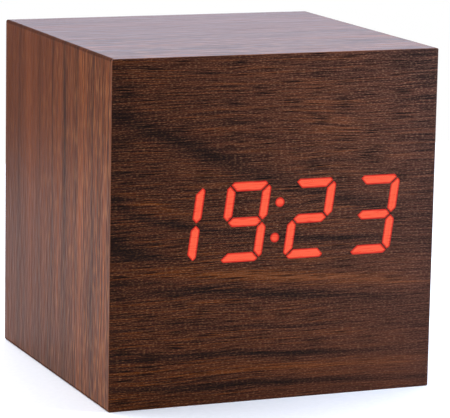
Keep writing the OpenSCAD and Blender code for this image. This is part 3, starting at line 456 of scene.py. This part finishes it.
# Painted sheen: the print is made greyer towards the upper right, standing in for a faint reflection there,
# and richer towards the lower left.
rise = put(front, "ShaderNodeMath", {0: spot.outputs[2], 1: painted_sheen_by_height, 2: spot.outputs[0]},
           operation="MULTIPLY_ADD")
painted_sheen = put(front, "ShaderNodeMapRange",
           {"Value": rise.outputs[0], "From Min": -30, "From Max": 50, "To Min": 1.12, "To Max": 0.94})
wood = put(front, "ShaderNodeHueSaturation", {"Saturation": painted_sheen.outputs[0], "Color": wood})
# The film's cut edge is paler: partly its bare vinyl core, partly a painted highlight along the rim.
pale_rim_and_highlight = put(front, "ShaderNodeMapRange",
          {"Value": spot.outputs[1], "From Min": front_face, "From Max": cut_edge, "To Min": 0,
           "To Max": 0.6})
wood = put(front, "ShaderNodeMix", {0: pale_rim_and_highlight.outputs[0], 6: wood.outputs[0], 7: linear("94604a")},
           data_type="RGBA")
dress(front, film_shader(front, wood.outputs[2], pores, streaks, 0, 0), "front_film")


# Figures: the light of each lit segment as it comes through the front film. It is brightest over
# the lamp and falls off to a deep red at the rim, where the well's wall stands. The film's print
# dims it a little, so pores of the wood show in the red.
rim_width = 0.00036
corner_round = 0.00022
dot_area, dot_level = 2e-6, 0.78
along_depth, sharp_angle = 0.9, 0.4
segments = bmesh.new()
segments.from_mesh(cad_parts["lit_segments"].data)
bmesh.ops.remove_doubles(segments, verts=segments.verts[:], dist=1e-7)
bmesh.ops.dissolve_limit(segments, angle_limit=0.02, verts=segments.verts[:], edges=segments.edges[:])
corners = [edge for edge in segments.edges
           if abs((edge.verts[0].co - edge.verts[1].co).normalized().y) > along_depth
           and edge.calc_face_angle(0) > sharp_angle]
bmesh.ops.bevel(segments, geom=corners, offset=corner_round, segments=3, profile=0.5, affect="EDGES",
                material=-1)
inner = segments.verts.layers.float.new("inner")
faces = [face for face in segments.faces if face.normal.y < -along_depth]
bmesh.ops.inset_individual(segments, faces=faces, thickness=rim_width, use_even_offset=True)
for face in faces:
    for vert in face.verts:
        vert[inner] = 1 if face.calc_area() > dot_area else dot_level
# Bevelling leaves a few points outside the film by less than a rounding error.
for vert in segments.verts:
    vert.co.y = max(vert.co.y, cad_box[0][1])
mesh = bpy.data.meshes.new("lit_figures")
segments.to_mesh(mesh)
segments.free()
figures = bpy.data.objects.new("lit_figures", mesh)
bpy.context.scene.collection.objects.link(figures)

lamp_spacing = 6.25
print_bite, pore_shade, lamp_share = 0.85, -0.36, 0.3
glow, point = begin("red_light_through_film")
spot = put(glow, "ShaderNodeSeparateXYZ", {0: point})
pores = walnut(glow, spot.outputs[0], spot.outputs[2], spot.outputs[2], (),
               dye="ffffff", long_by=1, wide_by=1, bite=print_bite)[1]
bulk = put(glow, "ShaderNodeAttribute", attribute_name="inner")
lamp_light = put(glow, "ShaderNodeTexNoise", {"Vector": point, "Scale": 1 / lamp_spacing, "Detail": 1})
level = put(glow, "ShaderNodeMath", {0: pores, 1: pore_shade, 2: bulk.outputs["Fac"]},
            operation="MULTIPLY_ADD")
level = put(glow, "ShaderNodeMath", {0: lamp_light.outputs[0], 1: lamp_share, 2: level.outputs[0]},
            operation="MULTIPLY_ADD")
red = put(glow, "ShaderNodeValToRGB", {"Fac": level.outputs[0]},
          stops=((0.16, "b01c16"), (0.75, "f0432e"), (1.0, "fd6244")))
dress(glow,
      put(glow, "ShaderNodeBsdfPrincipled",
          {"Base Color": linear("200a06"), "Roughness": 0.4, "Specular IOR Level": 0.06,
           "Emission Color": red.outputs[0], "Emission Strength": 1.0}),
      figures)
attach(figures, "case")
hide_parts("lit_segments")


# Rear cover, battery door and buttons: black ABS from one mould set, screwed into a step of the
# boards. The cover and door have a fine spark-eroded texture, the buttons are nearly smooth. The
# switch bodies, socket and buzzer are black nylon, a little greyer.
rubbed_patch = 12.5
rubbed_change = 0.06


def abs_plastic(name, low, high, grain, depth, rough, *pieces):
    """A black moulding: a texture of a given grain in millimetres, and faint rubbed patches."""
    plastic, point = begin(name)
    texture = put(plastic, "ShaderNodeTexNoise", {"Vector": point, "Scale": 1 / grain, "Detail": 3})
    rubbed = put(plastic, "ShaderNodeTexNoise", {"Vector": point, "Scale": 1 / rubbed_patch, "Detail": 3})
    black = put(plastic, "ShaderNodeValToRGB", {"Fac": texture.outputs[0]}, stops=((0.3, low), (0.7, high)))
    shine = put(plastic, "ShaderNodeMapRange",
                {"Value": rubbed.outputs[0], "From Min": 0.3, "From Max": 0.7,
                 "To Min": rough - rubbed_change, "To Max": rough + rubbed_change})
    pits = put(plastic, "ShaderNodeBump", {"Strength": 0.35, "Distance": depth, "Height": texture.outputs[0]})
    dress(plastic,
          put(plastic, "ShaderNodeBsdfPrincipled",
              {"Base Color": black.outputs[0], "Roughness": shine.outputs[0], "Normal": pits.outputs[0],
               "IOR": 1.53}),
          *pieces)


abs_plastic("abs_textured", "0b0b0c", "121214", 0.35, 0.00008, 0.58, "rear_cover", "battery_door")
abs_plastic("abs_satin", "111113", "19191c", 0.6, 0.00003, 0.36, "set_button", "up_button", "down_button")
abs_plastic("switch_nylon_black", "202022", "2b2b2e", 0.5, 0.00003, 0.45, "set_switch", "up_switch",
            "down_switch", "power_socket", "buzzer")


# Button signs: a ring for setting, a triangle up and a triangle down, raised on the cover below
# their buttons. They are part of the same moulding, printed white on top with a pad, which leaves
# a thin and slightly chalky coat.
cover_face, sign_height = 0.02793, 0.0430
sign_rise, sign_rim = 0.00022, 0.00006
ring_share = 0.38


def raised_sign(name, sides, turn, x, radius):
    """A flat sign with a soft rim that stands out of the cover."""
    sign = bmesh.new()
    bmesh.ops.create_circle(sign, cap_ends=True, segments=sides, radius=radius)
    outline = sign.faces[:]
    if sides > 3:
        bmesh.ops.inset_region(sign, faces=outline, thickness=radius * ring_share, use_boundary=True)
        bmesh.ops.delete(sign, geom=outline, context="FACES")
    lifted = bmesh.ops.extrude_face_region(sign, geom=sign.faces[:])
    bmesh.ops.translate(sign, vec=(0, 0, sign_rise),
                        verts=[v for v in lifted["geom"] if isinstance(v, bmesh.types.BMVert)])
    bmesh.ops.recalc_face_normals(sign, faces=sign.faces[:])
    rims = [e for e in sign.edges
            if all(v.co.z > sign_rise / 2 for v in e.verts) and e.calc_face_angle(0) > 0.5]
    bmesh.ops.bevel(sign, geom=rims, offset=sign_rim, segments=2, profile=0.5, affect="EDGES", material=-1)
    upright = Matrix.Rotation(-math.pi / 2, 4, "X") @ Matrix.Rotation(turn, 4, "Z")
    stand = Matrix.Translation((x, cover_face, sign_height)) @ upright
    bmesh.ops.transform(sign, matrix=stand, verts=sign.verts[:])
    mesh = bpy.data.meshes.new(name)
    sign.to_mesh(mesh)
    sign.free()
    piece = bpy.data.objects.new(name, mesh)
    bpy.context.scene.collection.objects.link(piece)
    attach(piece, "case")
    return piece


chalk_size = 0.25
paint, point = begin("pad_printed_white")
worn = put(paint, "ShaderNodeTexNoise", {"Vector": point, "Scale": 1 / chalk_size, "Detail": 3})
chalk = put(paint, "ShaderNodeValToRGB", {"Fac": worn.outputs[0]}, stops=((0.3, "c9c8c4"), (0.6, "e3e2de")))
dress(paint,
      put(paint, "ShaderNodeBsdfPrincipled", {"Base Color": chalk.outputs[0], "Roughness": 0.55}),
      raised_sign("set_sign", 32, 0, 0.0135, 0.0008),
      raised_sign("up_sign", 3, math.pi, 0.0045, 0.0010),
      raised_sign("down_sign", 3, 0, -0.0045, 0.0010))


# Control board's parts that aren't chips: an electret microphone in an aluminium can, an electrolytic
# capacitor in a shrunk sleeve, and the brass leaf that touches a plug's outside. The can is bright
# with faint drawing marks, the sleeve a glossy navy below a bare lid, the leaf warm with rolling lines.
draw_mark = 0.11
can, point = begin("drawn_aluminium")
laid = put(can, "ShaderNodeMapping", {"Vector": point, "Scale": (1, 1, 1 / draw_mark)})
turned = put(can, "ShaderNodeTexNoise", {"Vector": laid.outputs[0], "Scale": 1, "Detail": 3})
bright = put(can, "ShaderNodeValToRGB", {"Fac": turned.outputs[0]}, stops=((0.3, "b9bbbd"), (0.7, "d6d7d8")))
dress(can,
      put(can, "ShaderNodeBsdfPrincipled",
          {"Base Color": bright.outputs[0], "Metallic": 1, "Roughness": 0.34}),
      "microphone")

lid_height = 49.4
shrink_crease = 0.8
sleeve, point = begin("shrunk_polyester_sleeve")
height = put(sleeve, "ShaderNodeSeparateXYZ", {0: point}).outputs[2]
lid = put(sleeve, "ShaderNodeMath", {0: height, 1: lid_height}, operation="GREATER_THAN")
shrunk = put(sleeve, "ShaderNodeTexNoise", {"Vector": point, "Scale": 1 / shrink_crease, "Detail": 2})
navy = put(sleeve, "ShaderNodeValToRGB", {"Fac": shrunk.outputs[0]}, stops=((0.3, "141a3a"), (0.7, "1d2650")))
wrapped = put(sleeve, "ShaderNodeMix", {0: lid.outputs[0], 6: navy.outputs[0], 7: linear("c9cacb")},
              data_type="RGBA")
dress(sleeve,
      put(sleeve, "ShaderNodeBsdfPrincipled",
          {"Base Color": wrapped.outputs[2], "Metallic": lid.outputs[0], "Roughness": 0.32}),
      "capacitor")

leaf, point = begin("rolled_brass")
laid = put(leaf, "ShaderNodeMapping",
           {"Vector": point, "Scale": (1 / line_width, 1 / line_length, 1 / line_width)})
rolled = put(leaf, "ShaderNodeTexNoise", {"Vector": laid.outputs[0], "Scale": 1, "Detail": 3})
yellow = put(leaf, "ShaderNodeValToRGB", {"Fac": rolled.outputs[0]}, stops=((0.3, "a98748"), (0.7, "cfae6b")))
dress(leaf,
      put(leaf, "ShaderNodeBsdfPrincipled",
          {"Base Color": yellow.outputs[0], "Metallic": 1, "Roughness": 0.3}),
      "socket_contact")


# Cells: three AAA cells that lie across the bay, each turned end for end from the one below.
# A steel can in a shrunk glossy jacket, green with a pale ring towards the plus end, and bare
# nickel-plated ends where the contacts touch.
cell_length, cell_start = 44.5, 20.9
minus_bare, plus_bare = 0.014, 0.962
jacket_ripple = 2.0
for name, side in (("cell_bottom", 1), ("cell_middle", -1), ("cell_top", 1)):
    foil, point = begin(name + "_printed_jacket")
    across = put(foil, "ShaderNodeSeparateXYZ", {0: point}).outputs[0]
    reach = put(foil, "ShaderNodeMath", {0: across, 1: side / cell_length, 2: cell_start / cell_length},
                operation="MULTIPLY_ADD")
    print_rings = put(foil, "ShaderNodeValToRGB", {"Fac": reach.outputs[0]},
                      stops=((0.0, "c9c6bd"), (minus_bare, "1f4a36"), (0.8, "d9d8cf"), (0.83, "173a2a"),
                             (plus_bare, "c9c6bd")))
    print_rings.color_ramp.interpolation = "CONSTANT"
    low = put(foil, "ShaderNodeMath", {0: reach.outputs[0], 1: minus_bare}, operation="LESS_THAN")
    high = put(foil, "ShaderNodeMath", {0: reach.outputs[0], 1: plus_bare}, operation="GREATER_THAN")
    bare = put(foil, "ShaderNodeMath", {0: low.outputs[0], 1: high.outputs[0]}, operation="ADD")
    ripple = put(foil, "ShaderNodeTexNoise", {"Vector": point, "Scale": 1 / jacket_ripple, "Detail": 2})
    gloss = put(foil, "ShaderNodeMapRange", {"Value": ripple.outputs[0], "To Min": 0.2, "To Max": 0.38})
    dress(foil,
          put(foil, "ShaderNodeBsdfPrincipled",
              {"Base Color": print_rings.outputs[0], "Metallic": bare.outputs[0],
               "Roughness": gloss.outputs[0]}),
          name)


# Contact springs: a conical coil on each minus contact, pressed to working length by its cell.
# Music wire with a nickel plate, coiled cold, so it is smooth and bright.
spring_turns, spring_steps = 3, 96
spring_radius, spring_taper, spring_length = 0.0034, 0.0012, 0.0027
contact_x, contact_thickness = -0.0242, 0.0003
cell_depth = 0.0208
coils = []
for side, height in ((1, 0.0113), (-1, 0.0222), (1, 0.0331)):
    coil = []
    for i in range(spring_steps + 1):
        s = i / spring_steps
        r = spring_radius - spring_taper * s
        turn = 2 * math.pi * spring_turns * s
        coil.append(Vector((side * (contact_x + contact_thickness + spring_length * s),
                            cell_depth + side * r * math.cos(turn), height + r * math.sin(turn))))
    coils.append(coil)
springs = tube("spring_coils", coils, 0.00025)

wire_mark = 0.5
wire, point = begin("plated_spring_wire")
pulled = put(wire, "ShaderNodeTexNoise", {"Vector": point, "Scale": 1 / wire_mark, "Detail": 2})
silver = put(wire, "ShaderNodeValToRGB", {"Fac": pulled.outputs[0]}, stops=((0.3, "b7b4ab"), (0.7, "d8d5cd")))
dress(wire,
      put(wire, "ShaderNodeBsdfPrincipled",
          {"Base Color": silver.outputs[0], "Metallic": 1, "Roughness": 0.24}),
      springs)
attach(springs, "case")
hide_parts("contact_springs")


# Battery leads: two stranded wires in vinyl, black from the minus lug and red from the plus lug,
# soldered to the lugs in front of the bay and led up to the control board. Their vinyl is as dull
# as the ribbon's.
lug_x, board_x = 0.0235, 0.017
lead_y, lead_top = 0.0131, 0.0418
lead_steps = 28
for name, side, low, slot, dark, light in (("negative_lead", -1, 0.0101, "lead_black", "121213", "1d1d1f"),
                                           ("positive_lead", 1, 0.0319, "lead_red", "7c1a15", "98231c")):
    path = []
    for i in range(lead_steps + 1):
        t = i / lead_steps
        x = lug_x + (board_x - lug_x) * t * t * (3 - 2 * t)
        path.append(Vector((side * x, lead_y, low + (lead_top - low) * t)))
    lead = tube(name + "_wire", [path], 0.00065)
    cover, point = begin(name + "_vinyl")
    bloom = put(cover, "ShaderNodeTexNoise", {"Vector": point, "Scale": 1 / bloom_size, "Detail": 2})
    dye = put(cover, "ShaderNodeValToRGB", {"Fac": bloom.outputs[0]}, stops=((0.3, dark), (0.7, light)))
    dress(cover,
          put(cover, "ShaderNodeBsdfPrincipled", {"Base Color": dye.outputs[0], "Roughness": 0.42}),
          lead)
    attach(lead, "case")
    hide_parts(name)


# Studio: a matt white paper sheet for a floor, a white room that is brightest behind the clock, two
# soft boxes and the camera at the photograph's angle. None of it belongs to the clock.
scene = bpy.context.scene
scene.view_settings.view_transform = "Standard"

ground = bmesh.new()
bmesh.ops.create_grid(ground, x_segments=1, y_segments=1, size=0.22)
sheet = bpy.data.meshes.new("floor")
ground.to_mesh(sheet)
ground.free()
floor = bpy.data.objects.new("floor", sheet)
scene.collection.objects.link(floor)
fibre_size = 1.0
paper, point = begin("white_paper")
fibre = put(paper, "ShaderNodeTexNoise", {"Vector": point, "Scale": 1 / fibre_size, "Detail": 2})
pale = put(paper, "ShaderNodeValToRGB", {"Fac": fibre.outputs[0]}, stops=((0.3, "f6f6f6"), (0.7, "fafafa")))
dress(paper,
      put(paper, "ShaderNodeBsdfPrincipled",
          {"Base Color": pale.outputs[0], "Roughness": 0.9, "Specular IOR Level": 0.1}),
      floor)

back_light = 2.7
room = bpy.data.worlds.new("white_room")
room.use_nodes = True
room.node_tree.nodes.clear()
way = put(room, "ShaderNodeSeparateXYZ", {0: put(room, "ShaderNodeTexCoord").outputs["Generated"]})
behind = put(room, "ShaderNodeMapRange",
             {"Value": way.outputs[1], "From Min": 0.0, "From Max": 0.7, "To Min": 0, "To Max": 1})
beside = put(room, "ShaderNodeMapRange",
             {"Value": way.outputs[0], "From Min": -0.1, "From Max": -0.9, "To Min": 0.14, "To Max": 1.35})
above = put(room, "ShaderNodeMapRange",
            {"Value": way.outputs[2], "From Min": -0.06, "From Max": 0.02, "To Min": 0, "To Max": 1})
light = put(room, "ShaderNodeMath", {0: behind.outputs[0], 1: back_light, 2: beside.outputs[0]},
            operation="MULTIPLY_ADD")
light = put(room, "ShaderNodeMath", {0: light.outputs[0], 1: above.outputs[0]}, operation="MULTIPLY")
tint = put(room, "ShaderNodeMix", {0: behind.outputs[0], 6: (1, 0.97, 0.94, 1), 7: (0.77, 0.875, 1.1, 1)},
           data_type="RGBA")
direct = put(room, "ShaderNodeLightPath").outputs["Is Camera Ray"]
strength = put(room, "ShaderNodeMix", {0: direct, 2: light.outputs[0], 3: 1.0})
colour = put(room, "ShaderNodeMix", {0: direct, 6: tint.outputs[2], 7: (1, 1, 1, 1)}, data_type="RGBA")
wall = put(room, "ShaderNodeBackground", {"Color": colour.outputs[2], "Strength": strength.outputs[0]})
put(room, "ShaderNodeOutputWorld", {"Surface": wall.outputs[0]})
scene.world = room

lit_point = Vector((0, 0, 0.03))
for name, place, width, power, tint in (("overhead", (-0.2, 0.1, 0.9), 0.8, 3.5, (1, 1, 1)),
                                        ("right_hand", (0.17, -0.11, 0.08), 0.12, 0.6, (0.88, 1, 1.25))):
    lamp = bpy.data.lights.new(name, "AREA")
    lamp.color = tint
    lamp.size = width
    lamp.energy = power
    box = bpy.data.objects.new(name, lamp)
    box.location = place
    box.rotation_euler = (lit_point - box.location).to_track_quat("-Z", "Y").to_euler()
    scene.collection.objects.link(box)

# The camera's place and turn come from the corners of the case in the photograph.
lens = bpy.data.cameras.new("camera")
lens.sensor_width = 36
lens.lens = 222.16
camera = bpy.data.objects.new("camera", lens)
stand = Matrix.Translation((-0.19247, -0.46917, 0.12439))
right, up = Vector((0.924712, -0.380191, 0.019042)), Vector((0.052833, 0.177720, 0.982662))
camera.matrix_world = stand @ Matrix((right, up, right.cross(up))).transposed().to_4x4()
scene.collection.objects.link(camera)
scene.camera = camera
